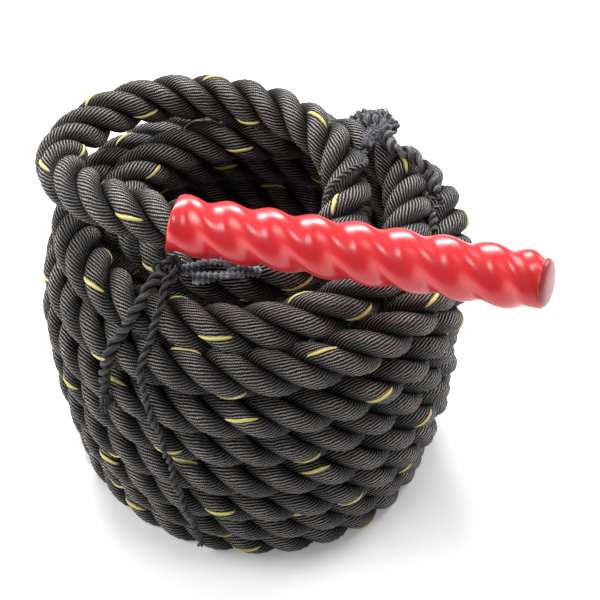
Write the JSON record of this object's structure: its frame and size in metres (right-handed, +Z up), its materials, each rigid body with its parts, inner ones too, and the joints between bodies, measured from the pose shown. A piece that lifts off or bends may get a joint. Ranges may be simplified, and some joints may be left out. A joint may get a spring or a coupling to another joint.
{
  "type": "battle rope",
  "caption": "Thick three-strand training rope coiled for storage, with a lobed grip sleeve over each end and two cord ties that hold the coil together.",
  "frame": {"origin": "middle of the footprint, on the floor", "axes": "+Z up, along the coil's axis; -Y is the side with the upper handle, which points to +X"},
  "size_m": [0.4062, 0.3948, 0.3507],
  "materials": {
    "rope": "black laid polyester with fine cross ribs and a yellow tracer yarn",
    "sleeve": "glossy red shrunk sleeve, slightly see-through",
    "cap": "semi-gloss dark red",
    "tie_cord": "grey plied cord, matte, frayed at its cut ends"
  },
  "bodies": {
    "root": {"rope_coil": "rope", "rope_top_lead": "rope", "rope_bottom_lead": "rope", "top_handle_sleeve": "sleeve", "top_handle_cap": "cap", "bottom_handle_sleeve": "sleeve", "bottom_handle_cap": "cap", "front_tie_knot": "tie_cord", "front_tie_upper_run": "tie_cord", "front_tie_lower_run": "tie_cord", "front_tie_thick_tail": "tie_cord", "front_tie_thin_tail": "tie_cord", "back_tie_run": "tie_cord", "back_tie_knot": "tie_cord", "back_tie_tail": "tie_cord", "back_tie_tuft": "tie_cord", "inner_tie_run": "tie_cord", "inner_tie_tuft": "tie_cord"}
  },
  "joints": []
}
